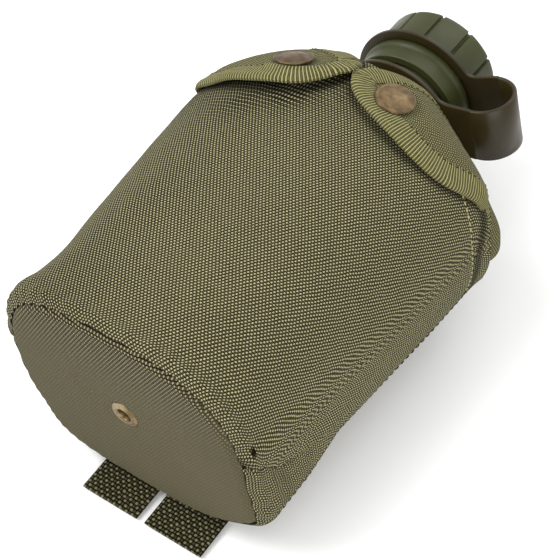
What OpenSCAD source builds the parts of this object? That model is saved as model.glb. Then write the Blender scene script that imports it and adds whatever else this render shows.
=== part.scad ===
// One-quart belt canteen in a woven cover, lying on its back.
//
// Every piece is drawn in the canteen's own axes: X to the right as seen from the front,
// Y up along the neck with 0 at the bottom seam, Z out of the front with 0 on the neck's
// axis. lay() then puts the whole canteen on its back: the origin is below the middle of
// the canteen, on the surface that it lies on.

/* [Cover] */
// Width of the cover at its bottom seam
base_w = 103; // [96:1:112]
// Width of the cover where the shoulders start
shoulder_w = 135; // [126:1:142]
// Depth from the neck's axis to the front at the bottom seam
base_front = 46; // [42:0.5:49]
// Depth from the neck's axis to the front at the shoulders
shoulder_front = 48.5; // [44:0.5:51]
// Depth from the neck's axis to the back
back_depth = 44.5; // [41:0.5:47]
// Height at which the shoulders start
shoulder_y = 133; // [126:1:138]
// Height at which the shoulders meet the neck
mouth_y = 171.5; // [169.5:0.5:173]
// Thickness of the woven cloth
cloth_t = 1.2; // [0.8:0.1:1.3]
// Thickness of the pile lining
lining_t = 1.8; // [1.4:0.1:2]

/* [Flaps] */
// Lowest edge of the shoulder flaps on the front
flap_low_y = 120.5; // [118:0.5:124]
// Height of the middle of a flap's nose
nose_y = 137; // [134:0.5:140]
// Thickness of a flap, two layers of cloth
flap_t = 1.6; // [1.2:0.1:1.8]
// Gap between a flap and the cover's front, which holds the snap
flap_gap = 2.2; // [2.2:0.1:3]
// Width of the binding along a flap's lower edge
binding_w = 5.5; // [4:0.5:6]

/* [Bottle] */
// Outside radius of the neck
neck_r = 18.6; // [18:0.1:18.8]
// Radius of the mouth
mouth_r = 15.8; // [14:0.1:16]
// Height of the neck's lip
lip_y = 203; // [202:0.5:203.5]
// Wall thickness of the bottle's body
wall_t = 1.6; // [1.2:0.1:2]
// Rise of the thread in one turn
thread_lead = 5; // [4.5:0.1:5.5]

/* [Cap and its strap] */
// Outside radius of the cap's grip
cap_r = 25.2; // [24.6:0.1:25.5]
// Height of the cap's outer end
cap_top_y = 210.5; // [208:0.5:211]
// Number of grooves round the grip
grip_grooves = 12; // [8:1:16]
// Outside radius of the ring under the cap's grip
cap_ring_r = 28.2; // [27:0.1:30]
// Outside radius of the ring round the neck
neck_ring_r = 26.4; // [24:0.1:28]
// Width of the strap's band
band_w = 24; // [18:1:26]
// How far the strap's loop reaches from the neck's axis
loop_reach = 49.5; // [44:0.5:52]

/* [Webbing and hardware] */
// Width of the webbing
webbing_w = 25.4; // [25:0.1:26]
// Thickness of the webbing
webbing_t = 1.6; // [1.2:0.1:1.7]
// Spacing of the webbing's channels and rows
grid = 38.1; // [38:0.1:38.2]
// How far the strap tails reach past the bottom seam
tail_out = 11; // [8:0.5:20]
// Radius of a snap's cap
snap_r = 8.2; // [7:0.1:9]
// Radius of the drain hole
drain_r = 2.8; // [2.4:0.1:3.4]

/* [Hidden] */

cloth_color = [0.33, 0.31, 0.22];
webbing_color = [0.24, 0.24, 0.15];
plastic_color = [0.33, 0.35, 0.23];
strap_color = [0.24, 0.22, 0.14];
brass_color = [0.55, 0.42, 0.28];
lining_color = [0.28, 0.27, 0.19];

// Layers at the back, from the neck's axis outwards
strap_in_z = back_depth + 0.4;
row_in_z = strap_in_z + webbing_t + 0.3;
floor_z = row_in_z + webbing_t;

middle_y = (cap_top_y - tail_out) / 2;
seam_u = 18;                  // the side seams lie this far behind the widest point
row_ys = [55, 55 + grid];     // middle of each row of webbing
strap_top_y = 128;
tail_y = 38;                  // where a tail bends out of its channel
tail_len = tail_y + tail_out;
tail_snap_at = 24;            // from a tail's bend to its snap
left_tail_skew = 11;          // the left tail lies askew, and is cut square to the cover
tail_slope = 1.7;             // a tail slopes away from the back to clear its snap
lining_gap = 1.2;             // room between the cloth and the lining, where the snaps' posts lie
tail_z = -(strap_in_z + webbing_t / 2 + 0.1);

// ---- outline of the cover ----

function lerp(a, b, t) = a + (b - a) * t;
function unit(t) = min(1, max(0, t));
function spow(v, p) = v < 0 ? -pow(-v, p) : pow(v, p);

// 0 at the bottom seam and 1 where the shoulders start
function rise(y) = unit(y / shoulder_y);
// 0 where the shoulders start and 1 at the neck
function climb(y) = unit((y - shoulder_y) / (mouth_y - shoulder_y));
function side_close(y) = pow(1 - pow(climb(y), 1.2), 1 / 1.2);
function face_close(y) = pow(1 - pow(climb(y), 2.6), 1 / 1.2);
function half_w(y) = 18 + (lerp(base_w, shoulder_w, rise(y)) / 2 - 18) * side_close(y);
function front_d(y) = 15 + (lerp(base_front, shoulder_front, rise(y)) - 15) * face_close(y);
function back_d(y) = 15 + (back_depth - 15) * face_close(y);
function front_n(y) = lerp(2.7, 2.1, rise(y));
function back_n(y) = lerp(3.2, 2.8, rise(y));

// A point of the cover's outside: u is 0 at the right, 90 at the front, 180 at the left
// and 270 at the back, and off moves it outwards
function skin(u, y, off = 0) =
    let (n = sin(u) < 0 ? back_n(y) : front_n(y),
         d = sin(u) < 0 ? back_d(y) : front_d(y))
    [(half_w(y) + off) * spow(cos(u), 2 / n), y, (d + off) * spow(sin(u), 2 / n)];

// The direction straight out of the cover's outside
function skin_normal(u, y) =
    let (a = skin(u + 1, y) - skin(u - 1, y), b = skin(u, y + 1) - skin(u, y - 1),
         c = cross(b, a))
    c / norm(c);

// ---- solids made of grids of points ----

// A closed solid through rings of equal length, flat at its first and last ring
module loft(rings) {
    n = len(rings[0]);
    m = len(rings);
    walls = [for (r = [0 : m - 2], i = [0 : n - 1])
        let (a = r * n + i, b = r * n + (i + 1) % n)
        each [[a, b, b + n], [a, b + n, a + n]]];
    first = [[for (i = [n - 1 : -1 : 0]) i]];
    last = [[for (i = [0 : n - 1]) (m - 1) * n + i]];
    polyhedron([for (r = rings) each r], concat(walls, first, last));
}

// A sheet with a thickness: the same grid of rows on its outside and its inside
module sheet(outer, inner) {
    m = len(outer);
    n = len(outer[0]);
    k = m * n;
    faces_out = [for (r = [0 : m - 2], i = [0 : n - 2])
        let (a = r * n + i) each [[a, a + n + 1, a + n], [a, a + 1, a + n + 1]]];
    faces_in = [for (r = [0 : m - 2], i = [0 : n - 2])
        let (a = k + r * n + i) each [[a, a + n, a + n + 1], [a, a + n + 1, a + 1]]];
    border = concat([for (i = [0 : n - 2]) i], [for (r = [0 : m - 2]) r * n + n - 1],
                    [for (i = [n - 1 : -1 : 1]) (m - 1) * n + i], [for (r = [m - 1 : -1 : 1]) r * n]);
    edge = [for (j = [0 : len(border) - 1])
        let (a = border[j], b = border[(j + 1) % len(border)])
        each [[a, b + k, b], [a, a + k, b + k]]];
    polyhedron([for (r = outer) each r, for (r = inner) each r],
               concat(faces_out, faces_in, edge));
}

// ---- placing ----

module lay() {
    translate([0, -middle_y, floor_z]) children();
}

// Children stand on the cover's outside at u, y, with +Z pointing straight out
module on_skin(u, y, off) {
    n = skin_normal(u, y);
    translate(skin(u, y) + n * off)
        rotate([0, acos(n[2]), atan2(n[1], n[0])])
        children();
}

// A turned part about the neck's axis, from a profile of [radius, height]
module about_neck(profile) {
    rotate([-90, 0, 0]) rotate_extrude($fn = 96) polygon(profile);
}

// Children lie in a strap tail's own axes: -Y along the tail, +Z towards the cover
module on_tail(side) {
    translate([side * grid / 2, tail_y, tail_z]) rotate([tail_slope, 0, 0]) children();
}

function tail_skew(side) = side < 0 ? left_tail_skew : 0;

// ---- bottle ----

RING_U = [for (i = [0 : 47]) i * 7.5];

function bottle_ring(y, off) = [for (u = RING_U)
    let (n = lerp(sin(u) < 0 ? back_n(y) : front_n(y), 2, climb(y)),
         d = sin(u) < 0 ? back_d(y) : front_d(y),
         least = neck_r + off + 5)
    [max(least, half_w(y) + off) * spow(cos(u), 2 / n), y, max(least, d + off) * spow(sin(u), 2 / n)]];
function small_ring(ring, k, y) = [for (p = ring) [p[0] * k, y, p[2] * k]];
function round_ring(r, y) = [for (u = RING_U) [r * cos(u), y, r * sin(u)]];

// A helical ridge about the neck's axis with its root at radius r: depth is positive for
// an outside thread and negative for an inside one
module thread(r, depth, from_y, turns) {
    steps = 30;
    count = round(turns * steps);
    loft([for (i = [0 : count])
        let (a = -i * 360 / steps,
             y = from_y + i * thread_lead / steps,
             h = depth * min(1, i / 4 + 0.1, (count - i) / 4 + 0.1),
             s = sign(depth))
        [for (p = s > 0 ? [[-0.4, -1.1], [h, -0.45], [h, 0.45], [-0.4, 1.1]]
                        : [[0.4, 1.1], [h, 0.45], [h, -0.45], [0.4, -1.1]])
            [(r + p[0]) * cos(a), y + p[1], (r + p[0]) * sin(a)]]]);
}

module bottle_body() {
    low = 5.6;
    ys = [low + 2.5, 20, 50, 80, 110, 133, 143, 151, 158, 163, 166.5, 169];
    inner_ys = [166, 162, 157, 150, 142, 132, 110, 80, 50, 20, low + wall_t + 2.5];
    color(plastic_color) lay() {
        loft(concat(
            [small_ring(bottle_ring(low, -5), 0.02, low + 2), small_ring(bottle_ring(low, -5), 0.7, low + 1)],
            [small_ring(bottle_ring(low, -5), 0.95, low)],
            [for (y = ys) bottle_ring(y, -5)],
            [round_ring(neck_r, mouth_y + 1), round_ring(neck_r, lip_y - 0.6), round_ring(neck_r - 0.6, lip_y)],
            [round_ring(mouth_r + 0.5, lip_y), round_ring(mouth_r, lip_y - 0.5)],
            [round_ring(mouth_r, mouth_y - 2)],
            [for (y = inner_ys) bottle_ring(y, -5 - wall_t - (y > 155 ? 1.2 : 0))],
            [small_ring(bottle_ring(low, -5 - wall_t), 0.93, low + wall_t)],
            [small_ring(bottle_ring(low, -5 - wall_t), 0.02, low + wall_t + 2)]));
        thread(neck_r, 1.5, 190, 1.2);
    }
}

// ---- cap ----

groove_y = 190.2;             // underside of the ring in the cap's groove
cap_bore_r = neck_r + 2.0;

module cap_shell() {
    skirt_y = 180;
    color(plastic_color) lay() {
        difference() {
            about_neck([[cap_bore_r, skirt_y], [cap_r - 1.6, skirt_y], [cap_r - 1.4, groove_y - 3.6],
                        [cap_r - 0.4, groove_y - 3], [cap_r - 0.4, groove_y - 0.5],
                        [cap_r - 2.2, groove_y - 0.3], [cap_r - 2.2, groove_y + 2.2],
                        [cap_r - 0.2, groove_y + 2.4], [cap_r, cap_top_y - 1.6],
                        [cap_r - 1.4, cap_top_y - 0.2], [cap_r - 4, cap_top_y],
                        [cap_r - 5, cap_top_y - 0.8], [0, cap_top_y - 0.8],
                        [0, lip_y + 2.2], [cap_bore_r, lip_y + 2.2]]);
            for (i = [0 : grip_grooves - 1])
                rotate([0, -(28 + i * 360 / grip_grooves), 0])
                    translate([cap_r - 0.9, groove_y + 4.6, -0.8])
                    cube([4, 30, 1.6]);
        }
        thread(cap_bore_r, -1.5, 187.5, 1.2);
    }
}

module cap_liner() {
    color(lining_color) lay()
        translate([0, lip_y + 0.15, 0]) rotate([-90, 0, 0])
        cylinder(h = 1.8, r = cap_bore_r - 0.4, $fn = 96);
}

// ---- strap that keeps the cap ----

ring_t = 1.8;
neck_ring_y = 171.8;
strap_turn = 10;              // the loop lies this far forward of straight right
loop_r = 12;

module band(outline) {
    translate([0, 0, -band_w / 2]) linear_extrude(band_w) polygon(outline);
}

module strap_neck_ring() {
    bend_x = loop_reach - loop_r;
    color(strap_color) lay() rotate([0, -strap_turn, 0]) {
        difference() {
            union() {
                translate([0, neck_ring_y, 0]) rotate([-90, 0, 0])
                    cylinder(h = ring_t, r = neck_ring_r, $fn = 96);
                band([[20, neck_ring_y], [bend_x, neck_ring_y], [bend_x, neck_ring_y + ring_t],
                      [20, neck_ring_y + ring_t]]);
            }
            translate([0, neck_ring_y - 1, 0]) rotate([-90, 0, 0])
                cylinder(h = ring_t + 2, r = neck_r + 0.4, $fn = 96);
        }
        translate([bend_x, neck_ring_y + loop_r, -band_w / 2]) intersection() {
            linear_extrude(band_w) difference() {
                circle(r = loop_r, $fn = 96);
                circle(r = loop_r - ring_t, $fn = 96);
            }
            translate([0, -20, -1]) cube([20, 40, band_w + 2]);
        }
    }
}

module strap_cap_ring() {
    end_x = loop_reach - loop_r - 0.4;
    end_y = neck_ring_y + 2 * loop_r;
    color(strap_color) lay() rotate([0, -strap_turn, 0]) difference() {
        union() {
            translate([0, groove_y, 0]) rotate([-90, 0, 0])
                cylinder(h = ring_t, r = cap_ring_r, $fn = 96);
            band([[22.9, groove_y], [26, groove_y], [end_x, end_y - ring_t], [end_x, end_y],
                  [25, groove_y + ring_t], [22.9, groove_y + ring_t]]);
        }
        translate([0, groove_y - 1, 0]) rotate([-90, 0, 0])
            cylinder(h = ring_t + 2, r = cap_r - 1.9, $fn = 96);
    }
}

// ---- cover ----

function front_top(u) = 130 + 20 * pow(max(0, sin(u)), 2);
function grid_rows(us, ts, low, high, off) = [for (t = ts) [for (u = us) skin(u, lerp(low, high(u), t), off)]];

BODY_TS = [0, 0.12, 0.25, 0.4, 0.55, 0.7, 0.8, 0.88, 0.95, 1];

module cover_front_panel() {
    us = [for (i = [0 : 40]) lerp(-seam_u, 180 + seam_u, i / 40)];
    top = function(u) front_top(u);
    color(cloth_color) lay()
        sheet(grid_rows(us, BODY_TS, 0, top, 0), grid_rows(us, BODY_TS, 0, top, -cloth_t));
}

module cover_back_panel() {
    us = [for (i = [0 : 22]) lerp(180.5 + seam_u, 359.5 - seam_u, i / 22)];
    ts = [0, 0.4, 0.79, 0.85, 0.91, 0.96, 1];
    top = function(u) 166;
    color(cloth_color) lay() difference() {
        sheet(grid_rows(us, ts, 0, top, 0), grid_rows(us, ts, 0, top, -cloth_t));
        for (side = [-1, 1]) tail_snap_axis(side) cylinder(h = 20, r = 1.9, center = true, $fn = 48);
    }
}

function base_outline(off) = [for (u = [0 : 5 : 355]) let (p = skin(u, 0, off)) [p[0], p[2]]];

module cover_bottom_panel() {
    color(cloth_color) lay() rotate([90, 0, 0]) difference() {
        translate([0, 0, -cloth_t]) linear_extrude(cloth_t) polygon(base_outline(-cloth_t - 0.15));
        cylinder(h = 10, r = drain_r + 0.7, center = true, $fn = 64);
    }
}

module cover_lining() {
    out = -cloth_t - lining_gap;
    in = out - lining_t;
    low = cloth_t + 0.4;
    ys = [low + 0.01, 30, 65, 100, 133, 141, 148, 154, 158];
    ring = function(y, off) [for (u = RING_U) skin(u, y, off)];
    color(lining_color) lay() difference() {
        loft(concat(
            [small_ring(ring(low, out), 0.1, low)],
            [for (y = ys) ring(y, out)],
            [for (i = [len(ys) - 1 : -1 : 1]) ring(ys[i] - (i < len(ys) - 1 ? 1 : 0), in)],
            [ring(low + lining_t, in), small_ring(ring(low + lining_t, in), 0.1, low + lining_t)]));
        rotate([90, 0, 0]) cylinder(h = 20, r = drain_r + 4.6, center = true, $fn = 64);
    }
}

// ---- shoulders and flaps ----
// side is 1 for the right and -1 for the left

// A flap bends along the line where it lies this far in front of the neck's axis
function hinge_z(y) = lerp(18, 21, unit((y - 128) / 37));
function hinge_u(y) = asin(pow(hinge_z(y) / front_d(y), front_n(y) / 2));
function sided(side, points) = [for (r = side > 0 ? points : [for (i = [len(points) - 1 : -1 : 0]) points[i]])
    [for (p = r) [side * p[0], p[1], p[2]]]];

module shoulder_panel(side) {
    ts = [0, 0.15, 0.35, 0.55, 0.75, 0.9, 1];
    ss = [0, 0.25, 0.5, 0.75, 1];
    layer = function(extra) [for (t = ts) [for (s = ss)
        let (y = lerp(127.5, 166, t), u = lerp(-seam_u, hinge_u(y) - 1.2, s))
        skin(u, y, lerp(0.5, flap_gap, s) + extra)]];
    color(cloth_color) lay() sheet(sided(side, layer(flap_t)), sided(side, layer(0)));
}

module left_shoulder_panel() { shoulder_panel(-1); }
module right_shoulder_panel() { shoulder_panel(1); }

// Outline of a flap: s runs from its bend to its nose and t from its lower to its upper edge
function nose_u(side) = side > 0 ? 83 : 94;
function round_off(s) = sqrt(max(0.02, 1 - pow(unit((s - 0.62) / 0.38), 2)));
function flap_low(s) = nose_y - (nose_y - flap_low_y - 9 * pow(1 - unit(s / 0.35), 2)) * round_off(s);
function flap_high(s) = nose_y + (lerp(165, 148, pow(s, 0.8)) - nose_y) * round_off(s);
function flap_point(side, s, t, off) =
    let (y = lerp(flap_low(s), flap_high(s), t))
    skin(lerp(hinge_u(y), nose_u(side), s), y, off);

FLAP_SS = [0, 0.12, 0.25, 0.38, 0.5, 0.62, 0.73, 0.82, 0.9, 0.96, 1];
FLAP_TS = [0, 0.2, 0.4, 0.6, 0.8, 1];

module flap(side) {
    layer = function(off) [for (t = FLAP_TS) [for (s = FLAP_SS) flap_point(side, s, t, off)]];
    color(cloth_color) lay() difference() {
        sheet(sided(side, layer(flap_gap + flap_t)), sided(side, layer(flap_gap)));
        flap_snap_axis(side) cylinder(h = 20, r = 1.9, center = true, $fn = 48);
    }
}

module left_flap() { flap(-1); }
module right_flap() { flap(1); }

module flap_binding(side) {
    over = flap_gap + flap_t + 0.5;
    layer = function(off) [for (k = [0, 0.5, 1]) [for (s = FLAP_SS)
        let (t = k * binding_w / (flap_high(s) - flap_low(s) + binding_w * (s > 0.9 ? 2 : 0)))
        flap_point(side, s, t, off)]];
    color(cloth_color) lay() sheet(sided(side, layer(over + 0.6)), sided(side, layer(over)));
}

module left_flap_binding() { flap_binding(-1); }
module right_flap_binding() { flap_binding(1); }

// ---- snaps ----

snap_y = 135.5;
function snap_u(side) = side > 0 ? 70 : 75;

// The axis of a flap's snap, with +Z out of the cover and 0 on its cloth
module flap_snap_axis(side) {
    if (side > 0) on_skin(snap_u(1), snap_y, 0) children();
    else mirror([1, 0, 0]) on_skin(snap_u(-1), snap_y, 0) children();
}

// The axis of a tail's snap, with +Z towards the cover and 0 in the middle of the tail
module tail_snap_axis(side) {
    on_tail(side) translate([tail_snap_at * tan(tail_skew(side)), -tail_snap_at, 0]) children();
}

module turned(profile) {
    rotate_extrude($fn = 64) polygon(profile);
}

module snap_cap_shape() {
    turned([[0, -0.9], [1.7, -0.9], [1.7, 0.15], [snap_r - 0.4, 0.15], [snap_r, 0.5],
            [snap_r - 0.5, 1.0], [snap_r - 2.5, 1.5], [0, 1.75]]);
}

module snap_socket_shape() {
    turned([[2.9, -1.0], [5.2, -1.0], [5.4, -0.6], [5.4, 0], [2.2, 0], [2.2, -0.25], [2.9, -0.35]]);
}

module snap_stud_shape() {
    turned([[0, 0], [6, 0], [6, 0.3], [2.4, 0.45], [2.1, 0.9], [2.5, 1.3], [1.8, 1.7], [0, 1.8]]);
}

module snap_post_shape() {
    cylinder(h = 0.2, r = 4, $fn = 48);
}

module flap_snap_cap(side) {
    color(brass_color) lay() flap_snap_axis(side)
        translate([0, 0, flap_gap + flap_t + 0.4]) snap_cap_shape();
}

module left_snap_cap() { flap_snap_cap(-1); }
module right_snap_cap() { flap_snap_cap(1); }

module flap_snap_socket(side) {
    color(brass_color) lay() flap_snap_axis(side)
        translate([0, 0, flap_gap - 0.62]) snap_socket_shape();
}

module left_snap_socket() { flap_snap_socket(-1); }
module right_snap_socket() { flap_snap_socket(1); }

module flap_snap_studs() {
    color(brass_color) lay() for (side = [-1, 1])
        flap_snap_axis(side) translate([0, 0, 0.12]) scale(0.9) snap_stud_shape();
}

module flap_snap_posts() {
    color(brass_color) lay() for (side = [-1, 1])
        flap_snap_axis(side) translate([0, 0, -cloth_t - lining_gap / 2 - 0.2]) snap_post_shape();
}

// ---- drain ----

module drain_grommet() {
    color(brass_color) lay() rotate([90, 0, 0])
        turned([[drain_r, -2.6], [drain_r + 0.5, -2.6], [drain_r + 0.5, 0.1], [drain_r + 3, 0.1],
                [drain_r + 3.3, 0.4], [drain_r + 2.5, 0.9], [drain_r + 1, 1.2], [drain_r, 0.7]]);
}

module drain_washer() {
    color(brass_color) lay() rotate([90, 0, 0])
        translate([0, 0, -cloth_t - 0.8])
        difference() {
            cylinder(h = 0.6, r = drain_r + 3.8, $fn = 64);
            translate([0, 0, -1]) cylinder(h = 3, r = drain_r + 0.6, $fn = 64);
        }
}

// ---- webbing on the back ----

// A row is sewn down on each side of its two channels and stands off over the straps
module webbing_rows() {
    half = grid / 2;
    crest = webbing_w / 2 + 1.5;
    run = function(z_top, z_tack) concat(
        [[-grid - 3.5, z_tack - 2.2], [-grid - 0.5, z_tack - 2.2], [-half - crest, z_top], [-half + crest, z_top]],
        [[-1.5, z_tack], [1.5, z_tack]],
        [[half - crest, z_top], [half + crest, z_top], [grid + 0.5, z_tack - 2.2], [grid + 3.5, z_tack - 2.2]]);
    outer = run(floor_z, back_depth + 0.3 + webbing_t);
    inner = run(row_in_z, back_depth + 0.3);
    outline = concat(outer, [for (i = [len(inner) - 1 : -1 : 0]) inner[i]]);
    color(webbing_color) lay() for (y = row_ys)
        translate([0, y - webbing_w / 2, 0]) rotate([-90, 0, 0])
        linear_extrude(webbing_w) polygon(outline);
}

module strap(side) {
    color(webbing_color) lay()
        translate([side * grid / 2 - webbing_w / 2, tail_y + 1.2, -strap_in_z - webbing_t])
        cube([webbing_w, strap_top_y - tail_y - 1.2, webbing_t]);
}

module left_strap() { strap(-1); }
module right_strap() { strap(1); }

module strap_tail(side) {
    half = webbing_w / 2 / cos(tail_skew(side));
    shift = tail_len * tan(tail_skew(side));
    color(webbing_color) lay() difference() {
        on_tail(side) union() {
            translate([0, 0, -webbing_t / 2]) linear_extrude(webbing_t)
                polygon([[-half, 0], [half, 0], [half + shift, -tail_len], [shift - half, -tail_len]]);
            rotate([0, 90, 0]) cylinder(h = 2 * half, r = webbing_t / 2, center = true, $fn = 48);
        }
        tail_snap_axis(side) cylinder(h = 20, r = 1.6, center = true, $fn = 48);
    }
}

module left_strap_tail() { strap_tail(-1); }
module right_strap_tail() { strap_tail(1); }

module tail_stud(side) {
    color(brass_color) lay() tail_snap_axis(side) {
        translate([0, 0, webbing_t / 2 + 0.1]) turned([[0, -2.1], [1.4, -2.1], [1.4, 0], [5, 0],
            [5, 0.3], [2.0, 0.4], [1.8, 0.7], [2.1, 1.0], [1.6, 1.3], [0, 1.4]]);
    }
}

module left_tail_stud() { tail_stud(-1); }
module right_tail_stud() { tail_stud(1); }

module tail_snap_sockets() {
    color(brass_color) lay() for (side = [-1, 1])
        tail_snap_axis(side) translate([0, 0, webbing_t / 2 + 0.5])
        turned([[2.5, 0], [5.6, 0], [5.8, 0.3], [5.8, 0.6], [2.2, 0.6], [2.2, 0.4]]);
}

// The posts lie inside the back panel, square to its cloth
module tail_snap_posts() {
    snap_x = grid / 2;
    back_u = function(x) 270 + asin(pow(x / half_w(tail_y - tail_snap_at), back_n(tail_y - tail_snap_at) / 2));
    color(brass_color) lay() for (side = [-1, 1])
        mirror([side < 0 ? 1 : 0, 0, 0])
        on_skin(back_u(snap_x + (side < 0 ? -tail_snap_at * tan(left_tail_skew) : 0)), tail_y - tail_snap_at,
                -cloth_t - lining_gap / 2 - 0.1)
        snap_post_shape();
}

bottle_body();
cap_shell();
cap_liner();
strap_neck_ring();
strap_cap_ring();
cover_front_panel();
cover_back_panel();
cover_bottom_panel();
cover_lining();
left_shoulder_panel();
right_shoulder_panel();
left_flap();
right_flap();
left_flap_binding();
right_flap_binding();
left_snap_cap();
right_snap_cap();
left_snap_socket();
right_snap_socket();
flap_snap_studs();
flap_snap_posts();
drain_grommet();
drain_washer();
webbing_rows();
left_strap();
right_strap();
left_strap_tail();
right_strap_tail();
left_tail_stud();
right_tail_stud();
tail_snap_sockets();
tail_snap_posts();
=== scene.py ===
"""The looks of a belt canteen that lies on its back: woven cover, webbing, snaps, cap and strap.

Shapes are worked out in millimetres in the canteen's own axes: X right, Y up the neck from the
bottom seam, Z out of the front from the neck's axis. place() turns them into the frame's metres.
"""

import math

import bpy
import numpy as np
from mathutils import Matrix, Vector, noise


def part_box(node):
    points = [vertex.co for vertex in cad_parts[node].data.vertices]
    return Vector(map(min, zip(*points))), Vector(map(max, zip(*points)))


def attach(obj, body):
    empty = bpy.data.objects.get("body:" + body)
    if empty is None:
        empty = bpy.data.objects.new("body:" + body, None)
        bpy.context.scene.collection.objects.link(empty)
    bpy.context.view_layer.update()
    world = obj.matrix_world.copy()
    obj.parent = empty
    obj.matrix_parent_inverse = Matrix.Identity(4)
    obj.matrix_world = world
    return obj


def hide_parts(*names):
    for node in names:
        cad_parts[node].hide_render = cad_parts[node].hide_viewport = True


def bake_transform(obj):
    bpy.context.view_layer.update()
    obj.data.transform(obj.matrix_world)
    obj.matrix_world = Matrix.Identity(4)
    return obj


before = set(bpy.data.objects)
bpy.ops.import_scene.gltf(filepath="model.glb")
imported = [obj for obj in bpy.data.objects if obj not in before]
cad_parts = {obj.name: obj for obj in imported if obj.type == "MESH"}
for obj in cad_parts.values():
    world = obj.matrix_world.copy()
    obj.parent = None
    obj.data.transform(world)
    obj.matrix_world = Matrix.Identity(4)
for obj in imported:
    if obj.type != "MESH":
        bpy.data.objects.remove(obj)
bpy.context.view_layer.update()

MM = 0.001

# ---- sizes, mm ----

BASE_W = 103.0            # width of the cover at its bottom seam
SHOULDER_W = 135.0        # and where the shoulders start
BASE_FRONT = 46.0         # neck's axis to the front at the bottom seam
SHOULDER_FRONT = 48.5
BACK_DEPTH = 44.5
SHOULDER_Y = 133.0
MOUTH_Y = 171.5
CLOTH = 1.2               # thickness of the cloth
FLAP_OFF = 3.8            # outside of a flap, from the cover's front
FLAP_THICK = 1.6
SEAM_U = 18.0             # the side seams lie this far behind the widest point, degrees
GRID = 38.1               # spacing of the webbing's channels
WEB_W = 25.4
WEB_T = 1.6
ROW_YS = (55.0, 93.1)
TAIL_Y = 38.0
TAIL_OUT = 12.8
STRAP_TOP_Y = 128.0
TAIL_DRIFT = {1: 2.4, -1: 11.4}   # the tails lie askew, this far to the right
TAIL_SLOPE = 1.7
SNAP_Y = 134.6
SNAP_U = {1: 70.0, -1: 75.0}
SNAP_DROP = {1: 1.0, -1: 1.5}     # the snaps pull the flaps in by this
SNAP_R = 8.2
DRAIN_R = 2.8
CAP_R = 25.2
CAP_TOP_Y = 210.5
GROOVE_Y = 190.2
NECK_RING_Y = 171.8
LOOP_R = 12.0
LOOP_REACH = 49.5         # neck's axis to the far side of the strap's loop
STRAP_TURN = 10.0         # the loop points this far round to the front, degrees
STRAP_T = 1.8
STRAP_HALF = 12.0         # half the width of the strap's tabs and loop
WARP, WEFT = 0.685, 1.0   # spacings of the cover's threads
WEB_ACROSS, WEB_ALONG = 1.25, 1.3   # the same in the webbing's own pattern
LINING_GAP = 1.2
LINING_T = 1.8

liner_lo, liner_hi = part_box("cap_liner")
ORIGIN = np.array([0.0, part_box("cover_front_panel")[0].y, (liner_lo.z + liner_hi.z) / 2])
NECK_HEIGHT = ORIGIN[2] / MM   # of the neck's axis over the floor


def place(points):
    return np.asarray(points, float) * MM + ORIGIN


# ---- outline of the cover ----

def lerp(a, b, t):
    return a + (b - a) * t


def unit(t):
    return np.clip(t, 0.0, 1.0)


def smooth(a, b, v):
    t = unit((np.asarray(v, float) - a) / (b - a))
    return t * t * (3 - 2 * t)


def spow(v, p):
    return np.sign(v) * np.abs(v) ** p


def skin(u, y, off=0.0):
    """Points of the cover's outside: u is 0 at the right, 90 at the front, 180 at the left."""
    u, y, off = np.broadcast_arrays(np.asarray(u, float), np.asarray(y, float), off)
    c, s = np.cos(np.radians(u)), np.sin(np.radians(u))
    rise = unit(y / SHOULDER_Y)
    climb = unit((y - SHOULDER_Y) / (MOUTH_Y - SHOULDER_Y))
    side = (1 - climb ** 1.2) ** (1 / 1.2)
    face = (1 - climb ** 2.6) ** (1 / 1.2)
    half = 18 + (lerp(BASE_W, SHOULDER_W, rise) / 2 - 18) * side
    front = 15 + (lerp(BASE_FRONT, SHOULDER_FRONT, rise) - 15) * face
    back = 15 + (BACK_DEPTH - 15) * face
    n = np.where(s < 0, lerp(3.2, 2.8, rise), lerp(2.7, 2.1, rise))
    depth = np.where(s < 0, back, front)
    return np.stack([(half + off) * spow(c, 2 / n), y, (depth + off) * spow(s, 2 / n)], -1)


def slack(u, y):
    """How far the cover's cloth hangs off its plain outline: baggy low down, pulled in above."""
    w = (np.asarray(u, float) + 180) % 360 - 180
    w, y = np.broadcast_arrays(w, np.asarray(y, float))
    corner = np.interp(y, [0, 8, 26, 46, 100, 128], [5.2, 6.4, 4.7, 1.3, 0.7, -0.4])
    corner = corner * np.exp(-(np.abs(w + 20) / 16) ** 1.5)
    far_corner = -3.0 * np.exp(-((w + 155) / 18) ** 2) * (1 - unit(y / 60))
    left = np.exp(-((np.abs(w) - 150) / 28) ** 2)
    flank = left * (2.2 * np.exp(-((y - 8) / 5) ** 2) - 1.5 * np.exp(-((y - 31) / 14) ** 2))
    hollow_left = -1.6 * smooth(118, 132, y) * smooth(88, 108, w) * smooth(184, 160, w)
    hollow_right = -2.8 * smooth(137, 150, y) * smooth(62, 42, w) * smooth(-30, 0, w)
    puff = 5.0 * np.exp(-((w + 4) / 13) ** 2 - ((y - 138.5) / 6.0) ** 2)
    return corner + far_corner + flank + hollow_left + hollow_right + puff


def draped(u, y, off=0.0):
    """Points of the cover's cloth, off in mm from where it hangs."""
    return skin(u, y, off + slack(u, y))


def unit_rows(v):
    return v / np.maximum(np.linalg.norm(v, axis=-1, keepdims=True), 1e-9)


def skin_axes(u, y):
    """Tangents of the skin along u, in mm per degree, and along y, and its outward normal."""
    along_u = draped(u + 0.5, y) - draped(u - 0.5, y)
    along_y = draped(u, y + 0.5) - draped(u, y - 0.5)
    return along_u, along_y, unit_rows(np.cross(along_y, along_u))


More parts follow.
